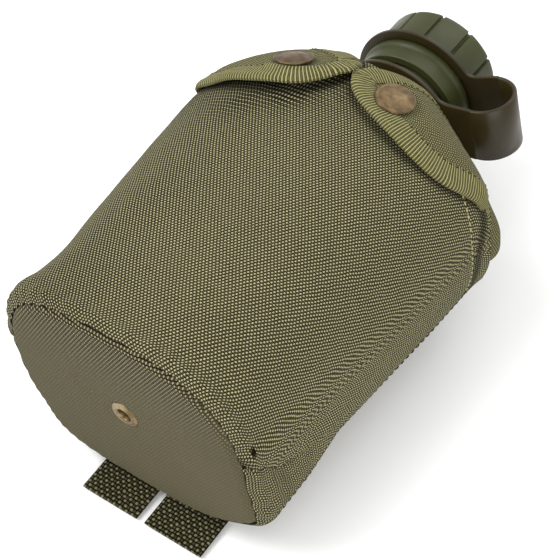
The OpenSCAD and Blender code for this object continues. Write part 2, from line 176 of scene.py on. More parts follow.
def wander(a, b, scale, seed):
    """Smooth noise from -1 to 1 at each a, b."""
    a, b = np.broadcast_arrays(a, b)
    values = [noise.noise(Vector((p / scale, q / scale, seed))) for p, q in zip(a.ravel(), b.ravel())]
    return np.array(values).reshape(a.shape)


def curve_through(points, count):
    """A smooth curve through a few points, evenly spaced along its length."""
    p = np.asarray(points, float)
    p = np.vstack([2 * p[0] - p[1], p, 2 * p[-1] - p[-2]])
    out = []
    for i in range(1, len(p) - 2):
        t = np.linspace(0, 1, 24, endpoint=False)[:, None]
        a, b, c, d = p[i - 1], p[i], p[i + 1], p[i + 2]
        out.append(0.5 * (2 * b + (c - a) * t + (2 * a - 5 * b + 4 * c - d) * t ** 2
                          + (3 * b - a - 3 * c + d) * t ** 3))
    out = np.vstack(out + [p[-2:-1]])
    return resample(out, count)


def resample(line, count):
    steps = np.r_[0, np.cumsum(np.linalg.norm(np.diff(line, axis=0), axis=1))]
    at = np.linspace(0, steps[-1], count)
    return np.stack([np.interp(at, steps, line[:, k]) for k in range(line.shape[1])], -1)


# ---- meshes ----

def add_object(name, verts, faces, uvs, material, angle=40):
    mesh = bpy.data.meshes.new(name)
    mesh.from_pydata(place(verts).tolist(), [], faces)
    layer = mesh.uv_layers.new(name="weave")
    index = np.empty(len(mesh.loops), int)
    mesh.loops.foreach_get("vertex_index", index)
    layer.data.foreach_set("uv", np.asarray(uvs, np.float32)[index].ravel())
    mesh.materials.append(material)
    mesh.shade_smooth()
    mesh.set_sharp_from_angle(angle=math.radians(angle))
    mesh.update()
    obj = bpy.data.objects.new(name, mesh)
    bpy.context.scene.collection.objects.link(obj)
    return obj


def arc_uv(grid):
    """Millimetres across and along a sheet, across from its centre column."""
    m, n = grid.shape[:2]
    across = np.zeros((m, n))
    across[:, 1:] = np.cumsum(np.linalg.norm(np.diff(grid, axis=1), axis=2), axis=1)
    across -= across[:, n // 2:n // 2 + 1]
    along = np.zeros((m, n))
    along[1:] = np.cumsum(np.linalg.norm(np.diff(grid, axis=0), axis=2), axis=0)
    return np.stack([across, along], -1)


def grid_normals(grid):
    across = np.gradient(grid, axis=1)
    along = np.gradient(grid, axis=0)
    return unit_rows(np.cross(along, across))


def border_of(m, n):
    return ([i for i in range(n - 1)] + [r * n + n - 1 for r in range(m - 1)]
            + [(m - 1) * n + i for i in range(n - 1, 0, -1)] + [r * n for r in range(m - 1, 0, -1)])


def shell(name, outer, thickness, material, uv=None, outward=1):
    """A sheet of cloth with a rounded edge. outward is 1 where rows times columns points out."""
    m, n = outer.shape[:2]
    uv = arc_uv(outer) if uv is None else uv
    normal = grid_normals(outer) * outward
    inner = outer - normal * np.reshape(thickness, np.shape(thickness) + (1,) * (3 - np.ndim(thickness)))
    verts = [outer.reshape(-1, 3), inner.reshape(-1, 3)]
    k = m * n
    faces = []
    for r in range(m - 1):
        for i in range(n - 1):
            a = r * n + i
            out = (a, a + n, a + n + 1, a + 1)
            back = (a + k, a + k + 1, a + k + n + 1, a + k + n)
            faces += [out, back] if outward > 0 else [out[::-1], back[::-1]]
    rim = border_of(m, n)
    flat_out, flat_in = verts[0], verts[1]
    rim_out, rim_in = flat_out[rim], flat_in[rim]
    step = unit_rows(np.roll(rim_out, -1, 0) - np.roll(rim_out, 1, 0))
    through = unit_rows(rim_out - rim_in)
    aside = unit_rows(np.cross(step, through)) * outward
    half = np.linalg.norm(rim_out - rim_in, axis=1, keepdims=True) / 2
    middle = (rim_out + rim_in) / 2 - aside * half * 0.8
    verts.append(middle)
    for j, a in enumerate(rim):
        b = rim[(j + 1) % len(rim)]
        p, q = 2 * k + j, 2 * k + (j + 1) % len(rim)
        pair = [(a, b, q, p), (p, q, b + k, a + k)]
        faces += pair if outward > 0 else [f[::-1] for f in pair]
    flat_uv = uv.reshape(-1, 2)
    uvs = np.vstack([flat_uv, flat_uv, flat_uv[rim]])
    return add_object(name, np.vstack(verts), faces, uvs, material)


def tube(name, rings, material, closed_path=False, angle=40):
    """A closed solid through rings of equal length."""
    rings = np.asarray(rings, float)
    m, n = rings.shape[:2]
    faces = []
    for r in range(m if closed_path else m - 1):
        for i in range(n):
            a, b = r * n + i, r * n + (i + 1) % n
            c, d = ((r + 1) % m) * n + (i + 1) % n, ((r + 1) % m) * n + i
            faces.append((a, b, c, d))
    if not closed_path:
        faces.append(tuple(range(n - 1, -1, -1)))
        faces.append(tuple((m - 1) * n + i for i in range(n)))
    around = np.r_[0, np.cumsum(np.linalg.norm(np.diff(rings[m // 2], axis=0), axis=1))]
    along = np.r_[0, np.cumsum(np.linalg.norm(np.diff(rings.mean(1), axis=0), axis=1))]
    uvs = np.stack(np.broadcast_arrays(around[None, :], along[:, None]), -1)
    return add_object(name, rings.reshape(-1, 3), faces, uvs.reshape(-1, 2), material, angle)


def join(name, parts):
    """One object from several."""
    with bpy.context.temp_override(active_object=parts[0], selected_editable_objects=parts):
        bpy.ops.object.join()
    parts[0].name = name
    return parts[0]


def turned(profile, centre, axis, segments=64):
    """Rings of a turned part: profile holds radius and height along the axis."""
    z = Vector(axis).normalized()
    x = z.orthogonal().normalized()
    y = z.cross(x)
    frame_rows = np.array([x, y, z])
    rings = []
    for k in range(segments):
        a = 2 * math.pi * k / segments
        local = np.array([[r * math.cos(a), r * math.sin(a), h] for r, h in profile])
        rings.append(local @ frame_rows + np.asarray(centre))
    return rings


def stitches(name, line, normals, material, length=2.4, gap=0.8, thread=0.38, lift=0.1):
    """A row of stitches along a line that lies on the cloth."""
    steps = np.r_[0, np.cumsum(np.linalg.norm(np.diff(line, axis=0), axis=1))]
    count = max(1, int(steps[-1] / (length + gap)))
    verts, faces, uvs = [], [], []
    sides, spans = 6, 5
    for k in range(count):
        start = (k + 0.5) * steps[-1] / count - length / 2
        at = start + length * np.linspace(0, 1, spans)
        pts = np.stack([np.interp(at, steps, line[:, c]) for c in range(3)], -1)
        up = unit_rows(np.stack([np.interp(at, steps, normals[:, c]) for c in range(3)], -1))
        ahead = unit_rows(np.gradient(pts, axis=0))
        aside = unit_rows(np.cross(ahead, up))
        base = len(verts)
        for j in range(spans):
            swell = math.sin(math.pi * (0.12 + 0.76 * j / (spans - 1)))
            for i in range(sides):
                a = 2 * math.pi * i / sides
                rise = math.sin(a) * thread * swell + lift - thread * (1 - swell)
                verts.append(pts[j] + aside[j] * math.cos(a) * thread * swell + up[j] * rise)
                uvs.append((k * 3.0 + i, j))
        for j in range(spans - 1):
            for i in range(sides):
                a, b = base + j * sides + i, base + j * sides + (i + 1) % sides
                faces.append((a, b, b + sides, a + sides))
        faces.append(tuple(base + i for i in range(sides - 1, -1, -1)))
        faces.append(tuple(base + (spans - 1) * sides + i for i in range(sides)))
    return add_object(name, np.array(verts), faces, uvs, material, 60)


# ---- materials ----

def srgb(r, g, b):
    """A colour given in 0..255 as it looks on a screen."""
    def lin(v):
        v /= 255.0
        return v / 12.92 if v <= 0.04045 else ((v + 0.055) / 1.055) ** 2.4
    return (lin(r), lin(g), lin(b), 1.0)


class Shade:
    """A material under construction."""

    def __init__(self, name, roughness, **settings):
        self.mat = bpy.data.materials.new(name)
        self.mat.use_nodes = True
        self.tree = self.mat.node_tree
        self.bsdf = self.tree.nodes["Principled BSDF"]
        self.bsdf.inputs["Roughness"].default_value = roughness
        for key, value in settings.items():
            self.bsdf.inputs[key.replace("_", " ")].default_value = value

    def node(self, kind, **settings):
        made = self.tree.nodes.new(kind)
        for key, value in settings.items():
            setattr(made, key, value)
        return made

    def feed(self, socket, value):
        if isinstance(value, bpy.types.NodeSocket):
            self.tree.links.new(value, socket)
        else:
            socket.default_value = value

    def math(self, operation, a, b=0.0):
        made = self.node("ShaderNodeMath", operation=operation)
        for socket, value in zip(made.inputs, (a, b)):
            self.feed(socket, value)
        return made.outputs[0]

    def ramp(self, value, low, high, out_low=0.0, out_high=1.0):
        made = self.node("ShaderNodeMapRange", interpolation_type="SMOOTHSTEP")
        for socket, v in zip(made.inputs, (value, low, high, out_low, out_high)):
            self.feed(socket, v)
        return made.outputs[0]

    def mix(self, factor, a, b, kind="MIX"):
        made = self.node("ShaderNodeMix", data_type="RGBA", blend_type=kind)
        self.feed(made.inputs[0], factor)
        self.feed(made.inputs[6], a)
        self.feed(made.inputs[7], b)
        return made.outputs[2]

    def uv(self):
        split = self.node("ShaderNodeSeparateXYZ")
        self.tree.links.new(self.node("ShaderNodeUVMap", uv_map="weave").outputs[0], split.inputs[0])
        return split.outputs[0], split.outputs[1]

    def noise(self, scale, detail=3.0, vector=None, roughness=0.5):
        made = self.node("ShaderNodeTexNoise")
        made.inputs["Scale"].default_value = scale
        made.inputs["Detail"].default_value = detail
        made.inputs["Roughness"].default_value = roughness
        if vector is None:
            vector = self.node("ShaderNodeTexCoord").outputs["Object"]
        self.tree.links.new(vector, made.inputs["Vector"])
        return made.outputs[0]

    def stretched(self, x, y, sx, sy):
        both = self.node("ShaderNodeCombineXYZ")
        self.feed(both.inputs[0], self.math("MULTIPLY", x, sx))
        self.feed(both.inputs[1], self.math("MULTIPLY", y, sy))
        return both.outputs[0]

    def finish(self, colour, height=None, distance=0.0002, strength=1.0):
        self.feed(self.bsdf.inputs["Base Color"], colour)
        if height is not None:
            bump = self.node("ShaderNodeBump")
            bump.inputs["Strength"].default_value = strength
            bump.inputs["Distance"].default_value = distance
            self.tree.links.new(height, bump.inputs["Height"])
            self.tree.links.new(bump.outputs[0], self.bsdf.inputs["Normal"])
        return self.mat


def woven(name, warp, weft, crown_highlight, mid, dark, contrast=1.0, relief=0.00018, rib=0.0, combed=None,
          twist=(0.0, 0.0), fade=None):
    """Plain weave. warp and weft are the threads' spacings in mm, and UV is in mm. rib, from 0
    to 1, sinks the weft so that the warp shows as ribs; combed adds ribs above that height. twist
    slants the threads' crossings, on the left and on the right. fade is the stretch of y over
    which the threads come up out of a worn, even tone."""
    s = Shade(name, roughness=0.85, Sheen_Weight=0.02, Sheen_Roughness=0.5)
    s.bsdf.inputs["Specular IOR Level"].default_value = 0.08
    x, y = s.uv()
    if combed is not None:
        upper = s.math("MULTIPLY", s.ramp(y, combed - 30, combed + 25), s.ramp(x, -28, 12))
        patchy = s.ramp(s.noise(45.0, 2.0), 0.3, 0.7, 0.45, 1.0)
        rib = s.math("MULTIPLY", s.math("MULTIPLY", upper, patchy), 0.75)
    sway = s.noise(260.0, 1.0)
    sway = s.math("MULTIPLY", s.math("SUBTRACT", sway, 0.5), 0.5)
    warps = s.math("MULTIPLY", s.math("ADD", s.math("DIVIDE", x, warp), sway), math.pi)
    wefts = s.math("MULTIPLY", s.math("ADD", s.math("DIVIDE", y, weft), sway), math.pi)
    across, along = s.math("SINE", warps), s.math("SINE", wefts)
    plain = s.math("SUBTRACT", 1.0, rib)
    over = s.math("MULTIPLY", across, s.math("ADD", s.math("MULTIPLY", along, plain), rib))
    slant = s.math("MULTIPLY", s.math("COSINE", s.math("ADD", warps, wefts)), s.ramp(x, -12, 30, *twist))
    over = s.math("SUBTRACT", over, s.math("MULTIPLY", slant, plain))
    # painted shade: the threads darken towards the gaps between the weft rows
    rows = s.ramp(s.math("MAXIMUM", s.math("ABSOLUTE", along), rib), 0.18, 0.8)
    # masks of the warp's crowns, which take a painted highlight, and of the weft's crowns, which take a
    # darker painted shade
    warp_highlight_mask = s.math("MULTIPLY", s.ramp(over, 0.05, 0.6), rows)
    weft_shade_mask = s.math("MULTIPLY", s.ramp(s.math("MULTIPLY", over, -1.0), 0.1, 0.8), rows)
    if fade:
        contrast = s.ramp(y, *fade, 0.12, 1.0)
    warp_tone = s.noise(1.0, 2.0, s.stretched(x, y, 1.4 / warp, 0.12 / weft))
    weft_tone = s.noise(1.0, 2.0, s.stretched(x, y, 0.12 / warp, 1.4 / weft))
    fibre = s.noise(2600.0, 2.0)
    worn = s.noise(22.0, 4.0)
    # painted light in the weave: the bright colour is a painted highlight on the threads' crowns, dark is
    # painted shade in the gaps between threads and on the weft's crowns, and mid is the cloth's own colour
    gap = s.mix(contrast, mid, dark)
    lower = s.mix(contrast, mid, [lerp(d, m, 0.4) for d, m in zip(dark, mid)])
    upper = s.mix(contrast, mid, crown_highlight)
    colour = s.mix(weft_shade_mask, gap, s.mix(s.ramp(weft_tone, 0.3, 0.7, 0.0, 0.6), lower, mid))
    colour = s.mix(warp_highlight_mask, colour, s.mix(s.ramp(warp_tone, 0.25, 0.75), s.mix(0.3, upper, mid), upper))
    colour = s.mix(0.2, colour, s.mix(fibre, dark, crown_highlight), "OVERLAY")
    # painted shade: the attribute read here darkens the cloth almost to black in creases and under the flaps'
    # edges, where shade falls
    shaded = s.node("ShaderNodeAttribute", attribute_name="crease_shade").outputs["Fac"]
    colour = s.mix(s.math("MULTIPLY", shaded, 0.9), colour, (0.004, 0.003, 0.001, 1))
    colour = s.mix(1.0, colour, s.mix(worn, (0.84, 0.84, 0.83, 1), (1.12, 1.12, 1.12, 1)), "MULTIPLY")
    height = s.math("ADD", s.math("POWER", s.math("ABSOLUTE", over), 0.6), s.math("MULTIPLY", fibre, 0.35))
    return s.finish(colour, height, relief)


SMOOTH_BUMP = 0.00003     # height of the grain in plastic and brass, m


def plastic(name, colour, roughness, grain=900.0, specular=0.3):
    s = Shade(name, roughness=roughness)
    s.bsdf.inputs["Specular IOR Level"].default_value = specular
    cloud = s.noise(30.0, 4.0)
    fine = s.noise(grain, 3.0)
    dark = [c * 0.78 for c in colour[:3]] + [1.0]
    light = [c * 1.2 for c in colour[:3]] + [1.0]
    tone = s.mix(s.ramp(cloud, 0.3, 0.7), dark, light)
    tone = s.mix(s.ramp(fine, 0.62, 0.8), tone, light)
    polish = s.ramp(s.noise(70.0, 5.0), 0.25, 0.75, roughness - 0.07, roughness + 0.09)
    s.feed(s.bsdf.inputs["Roughness"], polish)
    return s.finish(tone, s.math("ADD", fine, s.math("MULTIPLY", cloud, 2.0)), SMOOTH_BUMP)


def brass(name, colour, patina, roughness):
    s = Shade(name, roughness=roughness, Metallic=0.85)
    cloud = s.noise(160.0, 6.0, roughness=0.65)
    brushed = s.noise(900.0, 3.0)
    tone = s.mix(s.ramp(cloud, 0.35, 0.7), patina, colour)
    tone = s.mix(s.math("MULTIPLY", s.ramp(brushed, 0.45, 0.75), 0.35), tone, patina)
    s.feed(s.bsdf.inputs["Roughness"], s.ramp(cloud, 0.2, 0.8, roughness + 0.12, roughness - 0.08))
    return s.finish(tone, s.math("ADD", brushed, cloud), SMOOTH_BUMP, 0.6)


def pile(name, colour):
    s = Shade(name, roughness=0.95, Sheen_Weight=0.6, Sheen_Roughness=0.6)
    tufts = s.noise(700.0, 4.0, roughness=0.7)
    clumps = s.noise(90.0, 3.0)
    tone = s.mix(s.ramp(tufts, 0.3, 0.75), [c * 0.45 for c in colour[:3]] + [1.0], colour)
    tone = s.mix(s.ramp(clumps, 0.3, 0.8), s.mix(0.5, tone, (0.02, 0.018, 0.01, 1)), tone)
    return s.finish(tone, s.math("ADD", tufts, clumps), 0.0008)


# weave colours: the bright ones are painted highlights on the threads' crowns, the dark ones painted shade
# between the threads, the middle ones the cloth's own colour
CLOTH_HIGHLIGHT, CLOTH_MID, CLOTH_SHADE = srgb(186, 181, 142), srgb(98, 93, 62), srgb(16, 13, 3)
MAT = {
    "cloth": woven("cover_cloth", WARP, WEFT, CLOTH_HIGHLIGHT, CLOTH_MID, CLOTH_SHADE, combed=118.0,
                   twist=(0.35, -0.15)),
    "flap": woven("flap_cloth", 0.55, 0.8, srgb(172, 168, 128), srgb(116, 112, 78), srgb(44, 40, 18), 0.9),
    "base": woven("base_cloth", WARP, WEFT, srgb(164, 157, 124), srgb(90, 85, 64), srgb(26, 21, 10),
                  relief=0.0001, fade=(8, 42)),
    "binding": woven("flap_binding", 0.57, 2.4, srgb(168, 164, 116), srgb(116, 112, 74),
                     srgb(40, 36, 14), 1.0, 0.0002, rib=0.9),
    "webbing": woven("webbing", WEB_ACROSS, WEB_ALONG, srgb(132, 127, 93), srgb(92, 87, 60),
                     srgb(10, 9, 2), 1.0, 0.0003),
    "thread": plastic("stitching", srgb(20, 16, 8), 0.8, 3000.0, specular=0.05),
    "pale_thread": plastic("hem_stitching", srgb(160, 154, 114), 0.7, 3000.0),
    "cap": plastic("cap_plastic", srgb(55, 58, 28), 0.42),
    "strap": plastic("strap_plastic", srgb(48, 40, 18), 0.36),
    "bottle": plastic("bottle_plastic", srgb(72, 72, 46), 0.48),
    "liner": plastic("liner_rubber", srgb(140, 136, 120), 0.6),
    "lining": pile("pile_lining", srgb(80, 74, 50)),
    "snap": brass("snap_brass", srgb(120, 100, 70), srgb(82, 66, 46), 0.42),
    "grommet": brass("grommet_brass", srgb(158, 140, 104), srgb(108, 90, 60), 0.36),
}

# ---- cover: front ----

SEAM_ROLL = 2.6           # height over which the front and back turn in to the bottom seam
HEM = 9.0                 # depth of the hem along the front's upper edge


def front_top(u):
    return 130 + 20 * np.maximum(0, np.sin(np.radians(u))) ** 2


def fold_line(u):
    """Height of the pleat's fold over u, as on the right side."""
    return np.interp(-u, [-6, -1, 2, 4, 8, 14], [1, 10.5, 22, 32, 44, 56])


def fold_of(u, y):
    """Distance in front of the pleat's fold, in mm, and how much of the pleat is left there."""
    near = np.where(u > 90, 180 - u, u)
    return (y - fold_line(near)) / 3.2, smooth(13, 6, near) * smooth(60, 38, y)


def front_relief(u, y, top):
    """How far the front's cloth stands off its plain outline."""
    arc = u * 1.1
    sag = 1.1 * wander(arc, y, 46, 1.7) + 0.35 * wander(arc, y, 17, 4.2)
    sag = sag * smooth(0, 18, y)
    roll = 1.0 * np.exp(-((y - 3.2) / 2.2) ** 2) - 3.0 * (1 - unit(y / SEAM_ROLL)) ** 2
    pucker = 0.45 * np.sin(arc * 0.75 + 1.3 * wander(arc, 0, 14, 8.1)) * np.exp(-y / 6.0)
    ahead, share = fold_of(u, y)
    pleat = 2.0 * smooth(-0.3, 0.3, ahead) * np.exp(-np.maximum(ahead, 0) / 9.0)
    pleat = (pleat - 1.2 * np.exp(-((ahead + 0.5) / 1.2) ** 2)) * share
    down = top - y
    hem = 0.45 * smooth(HEM + 1.5, HEM - 1.5, down) - 0.5 * np.exp(-((down - HEM) / 0.9) ** 2)
    lip = 0.4 * smooth(7, 0, down) * smooth(24, 6, np.where(u > 90, 180 - u, u))
    return sag + roll + pucker + pleat + hem + lip


def front_point(u, y):
    """The front's cloth, whose pleat is folded over towards the back."""
    ahead, share = fold_of(u, y)
    over = 2.2 * smooth(-0.2, 0.4, ahead) * np.exp(-np.maximum(ahead, 0) / 3.0) * share
    return draped(np.where(u > 90, u + over, u - over), y, front_relief(u, y, front_top(u)))


def paint_crease_shade(obj, amount):
    """Stores painted shade on the cloth's outer vertices, from 0 to 1, by how deep they lie in a crease or
    under an edge.
    """
    values = np.zeros(len(obj.data.vertices), np.float32)
    values[:amount.size] = amount.ravel()
    obj.data.attributes.new("crease_shade", "FLOAT", "POINT").data.foreach_set("value", values)


def build_front():
    side_us = np.linspace(-SEAM_U, 16, 80)
    us = np.r_[side_us, np.linspace(16, 164, 190)[1:-1], 180 - side_us[::-1]][None, :]
    ts = np.r_[np.linspace(0, 0.08, 20)[:-1], np.linspace(0.08, 0.4, 100)[:-1], np.linspace(0.4, 1, 80)]
    ts = ts[:, None]
    ys = 0.3 + (front_top(us) - 0.3) * ts
    grid = front_point(us, ys)
    front = shell("cover_front", grid, CLOTH, MAT["cloth"], outward=1)
    # painted shade along the pleat's fold and in a band under each flap's edge
    ahead, share = fold_of(us, ys)
    crease_shade = np.exp(-((ahead + 0.35) / 0.5) ** 2) * share
    for side in (1, -1):
        rim = flap_rim(side, 200)
        rim = flap_skin(rim[:, 0], rim[:, 1], 1.0, side)
        far = np.min([np.linalg.norm(grid - point, axis=-1) for point in rim], axis=0)
        crease_shade = np.maximum(crease_shade, 0.8 * smooth(3.4, 0.8, far))
    paint_crease_shade(front, crease_shade)
    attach(front, "canteen")
    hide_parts("cover_front_panel")

    u = np.linspace(-SEAM_U + 1, 180 + SEAM_U - 1, 240)
    y = front_top(u) - HEM
    line = front_point(u, y)
    seam = stitches("hem_stitches", line, skin_axes(u, y)[2], MAT["pale_thread"], 1.9, 0.7, 0.36)
    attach(seam, "canteen")


def build_bar_tack():
    """Close zigzag stitches that hold the pleat at the bottom corner."""
    for side, name in ((1, "right"), (-1, "left")):
        parts = []
        for k in range(5):
            u = np.linspace(9.0, 14.0, 8)
            u = u if side > 0 else 180 - u
            y = 2.6 + 0.42 * k + np.linspace(0, 1.2, 8)
            line = front_point(u, y)
            parts.append(stitches("tack", line, skin_axes(u, y)[2], MAT["thread"], 4.4, 0.1, 0.22, 0.0))
        tack = join(f"{name}_bar_tack", parts)
        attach(tack, "canteen")


# ---- cover: back ----

def build_back():
    us = np.linspace(180.6 + SEAM_U, 359.4 - SEAM_U, 150)[None, :]
    ts = np.linspace(0, 1, 120)[:, None]
    ys = 0.3 + 165.7 * ts + 0 * us
    arc = us * 0.9
    relief = 0.5 * wander(arc, ys, 40, 12.4) * smooth(0, 15, ys)
    roll = 0.5 * np.exp(-((ys - 5) / 3.0) ** 2) - 2.4 * (1 - unit(ys / SEAM_ROLL)) ** 2
    edge = np.minimum(us - us.min(), us.max() - us)
    relief = np.minimum(relief, 0.25) + roll - 0.8 * np.exp(-(edge / 1.6) ** 2)
    grid = draped(us, ys, relief)
    back = shell("cover_back", grid, CLOTH, MAT["cloth"], outward=1)
    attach(back, "canteen")
    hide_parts("cover_back_panel")
    for side, name in ((1, "right"), (-1, "left")):
        y = np.linspace(4, 128, 160)
        u = np.full_like(y, 360 - SEAM_U - 4.5 if side > 0 else 180 + SEAM_U + 4.5)
        line = draped(u, y, -0.15)
        seam = stitches(f"{name}_seam_stitches", line, skin_axes(u, y)[2], MAT["thread"], 2.3, 0.8, 0.26)
        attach(seam, "canteen")


# ---- cover: bottom ----

def build_bottom():
    """The bottom is sewn in: its edge turns up into the seam, and its middle is held flat."""
    us = np.arange(0, 360, 1.5)
    rim = draped(us, 0.0, -1.8)
    rim_xz = rim[:, [0, 2]]
    hole = DRAIN_R + 0.5
    hole_xz = np.stack([np.cos(np.radians(us)), np.sin(np.radians(us))], -1) * hole
    ts = np.r_[np.linspace(0, 0.86, 34)[:-1], np.linspace(0.86, 1, 18)]
    rows = []
    for t in ts:
        xz = lerp(hole_xz, rim_xz, t)
        far = np.linalg.norm(rim_xz - xz, axis=1)
        bulge = -1.4 * smooth(0.5, 3.5, far) + 0.8 * smooth(8, 40, far)
        bulge += 2.2 * (1 - unit(far / 2.0)) ** 2
        bulge += 0.35 * wander(xz[:, 0], xz[:, 1], 22, 6.6) * smooth(0, 10, far)
        pucker = 0.22 * np.sin(us * 0.9 + 2 * wander(us * 1.1, 0 * us, 16, 2.2)) * np.exp(-far / 5.0)
        lift = bulge + pucker + 0.5 * smooth(8, 0, np.hypot(*xz.T) - hole)
        rows.append(np.stack([xz[:, 0], lift, xz[:, 1]], -1))
    grid = np.array(rows)
    grid = np.concatenate([grid, grid[:, :1]], 1)
    uv = grid[..., [0, 2]]
    bottom = shell("cover_bottom", grid, CLOTH, MAT["base"], uv=uv, outward=1)
    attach(bottom, "canteen")
    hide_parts("cover_bottom_panel")

    path = draped(np.arange(0, 360, 1.0), 0.0, -2.1) + np.array([0, 1.3, 0])
    out = unit_rows(path * np.array([1, 0, 1]))
    rings = []
    for k in range(12):
        a = 2 * math.pi * k / 12
        rings.append(path + out * math.cos(a) * 0.6 + np.array([0, 1, 0]) * math.sin(a) * 0.6)
    rings = np.swapaxes(np.array(rings), 0, 1)
    seam = tube("bottom_seam_tape", rings, MAT["thread"], closed_path=True)
    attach(seam, "canteen")


def build_drain():
    """A rolled rim round the drain hole, with its washer left as it is inside."""
    r = DRAIN_R
    profile = [(r, 3.4), (r + 0.4, 3.4), (r + 0.4, 0.2), (r + 2.4, 0.1), (r + 2.75, -0.05), (r + 2.85, -0.35),
               (r + 2.7, -0.6), (r + 2.2, -0.7), (r + 1.6, -0.75), (r + 1.3, -1.0), (r + 0.8, -1.15),
               (r + 0.3, -0.95), (r, -0.4)]
    rings = turned(profile, (0, 0, 0), (0, 1, 0), 72)
    grommet = tube("grommet_rim", rings, MAT["grommet"], closed_path=True, angle=55)
    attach(grommet, "canteen")
    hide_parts("drain_grommet")


# ---- shoulders and flaps ----

LOW_EDGE = {   # u, y from the side seam to the nose, as on the right side
    1: [(-18, 123), (-8, 123), (2, 124), (10, 127), (20, 130), (30, 126), (41, 120.8), (55, 119.2),
        (67, 121.2), (77, 125.2), (83, 130.5), (85.5, 136.5)],
    -1: [(-18, 123), (-8, 123), (2, 124), (10, 126), (20, 127), (30, 123.5), (42, 118.5), (56, 117.6),
         (70, 118.2), (81, 121.5), (88, 128), (92, 136), (94, 143)],
}
HIGH_EDGE = {
    1: [(-18, 164), (10, 164.5), (35, 163), (55, 158.5), (70, 153.5), (80, 147), (84.5, 141.5),
        (85.5, 136.5)],
    -1: [(-18, 164), (10, 164.5), (35, 163), (55, 160), (72, 156), (84, 152), (91, 148), (94, 143)],
}
BAND = 8.5                # width of the folded band round a flap
LEAN = {1: 0.12, -1: 0.34}   # how far a flap leans back at its snap, as a slope
FLAP_LOW = {side: curve_through(points, 160) for side, points in LOW_EDGE.items()}
FLAP_HIGH = {side: curve_through(points, 160) for side, points in HIGH_EDGE.items()}


def edge_at(line, u):
    return np.interp(u, line[:, 0], line[:, 1])


def flap_off(u, y, side):
    """Height of a flap's outside above the cloth's own level. At the side it is tucked in behind
    the front's hem, and further forward it comes out over the hem and stands off the front."""
    low = edge_at(FLAP_LOW[side], u)
    tucked = lerp(-2.6, 0.4, smooth(133, 141, y))
    lean = np.clip(LEAN[side] * (SNAP_Y - y), -2.4, 0.4) * smooth(45, 66, u)
    over = lerp(2.15, FLAP_OFF, smooth(44, 66, u)) + lean + 0.6 * smooth(7, 0, y - low)
    over += 0.4 * wander(u * 1.1, y, 15, 20.0 + side) * smooth(40, 60, u)
    off = lerp(tucked, over, smooth(12, 27, u))
    snap = np.hypot((u - SNAP_U[side]) * 0.95, y - SNAP_Y)
    flat = FLAP_OFF - 0.1 - SNAP_DROP[side] + LEAN[side] * (SNAP_Y - y) - slack(turned_u(u, side), y)
    return lerp(flat, off, smooth(SNAP_R - 0.5, SNAP_R + 4, snap))


def turned_u(u, side):
    """The skin's angle for an angle counted from the flap's own side."""
    return u if side > 0 else 180 - np.asarray(u)


def flap_skin(u, y, off, side):
    return draped(turned_u(u, side), y, off)


def build_flap(side, name):
    low, high = FLAP_LOW[side], FLAP_HIGH[side]
    nose = low[-1, 0]
    ws = np.r_[np.linspace(0, 0.8, 74)[:-1], 0.8 + 0.2 * np.sin(np.linspace(0, math.pi / 2, 34))]
    us = lerp(-SEAM_U, nose, ws)
    lows, highs = edge_at(low, us), edge_at(high, us)
    ts = np.linspace(0, 1, 56)[:, None]
    inset = np.minimum(1.2, (highs - lows) * 0.1)
    ys = lerp(lows + inset, highs - inset * 0.3, ts)
    u = np.broadcast_to(us[None, :], ys.shape)
    grid = flap_skin(u, ys, flap_off(u, ys, side), side)
    uv = arc_uv(grid)
    turn = math.radians(28) * side
    uv = np.stack([uv[..., 0] * math.cos(turn) + uv[..., 1] * math.sin(turn),
                   uv[..., 1] * math.cos(turn) - uv[..., 0] * math.sin(turn)], -1)
    flap = shell(f"{name}_flap_cloth", grid, FLAP_THICK, MAT["flap"], uv=uv, outward=side)
    # painted shade where the flap is tucked in behind the front's hem
    paint_crease_shade(flap, smooth(4.0, 0.5, np.abs(ys - front_top(u))) * smooth(26, 12, u))
    bend_flap(flap)
    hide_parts(f"{name}_flap", f"{name}_shoulder_panel")
    return flap


def bend_flap(obj):
    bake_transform(obj)


def flap_rim(side, count):
    """The flap's edge from the side seam along its low edge and round the nose to its top."""
    high = FLAP_HIGH[side][::-1]
    whole = np.vstack([FLAP_LOW[side], high[1:]])
    whole = whole[: np.argmax((whole[:, 0] < 34) & (np.arange(len(whole)) > 170))]
    return resample(whole, count)


def inward_of(rim):
    """Unit steps in u, y that lead from the flap's edge into the flap, per millimetre."""
    along_u, along_y, normal = skin_axes(rim[:, 0], rim[:, 1])
    ahead = np.gradient(rim, axis=0)
    ahead = unit_rows(along_u * ahead[:, :1] + along_y * ahead[:, 1:])
    into = np.cross(normal, ahead)
    a = np.einsum("ij,ij->i", along_u, along_u)
    b = np.einsum("ij,ij->i", along_u, along_y)
    c = np.einsum("ij,ij->i", along_y, along_y)
    p = np.einsum("ij,ij->i", into, along_u)
    q = np.einsum("ij,ij->i", into, along_y)
    det = a * c - b * b
    step = np.stack([(p * c - q * b) / det, (q * a - p * b) / det], -1)
    middle = np.array([45.0, 142.0])
    if np.einsum("ij,ij->i", step, middle - rim).mean() < 0:
        step = -step
    return step


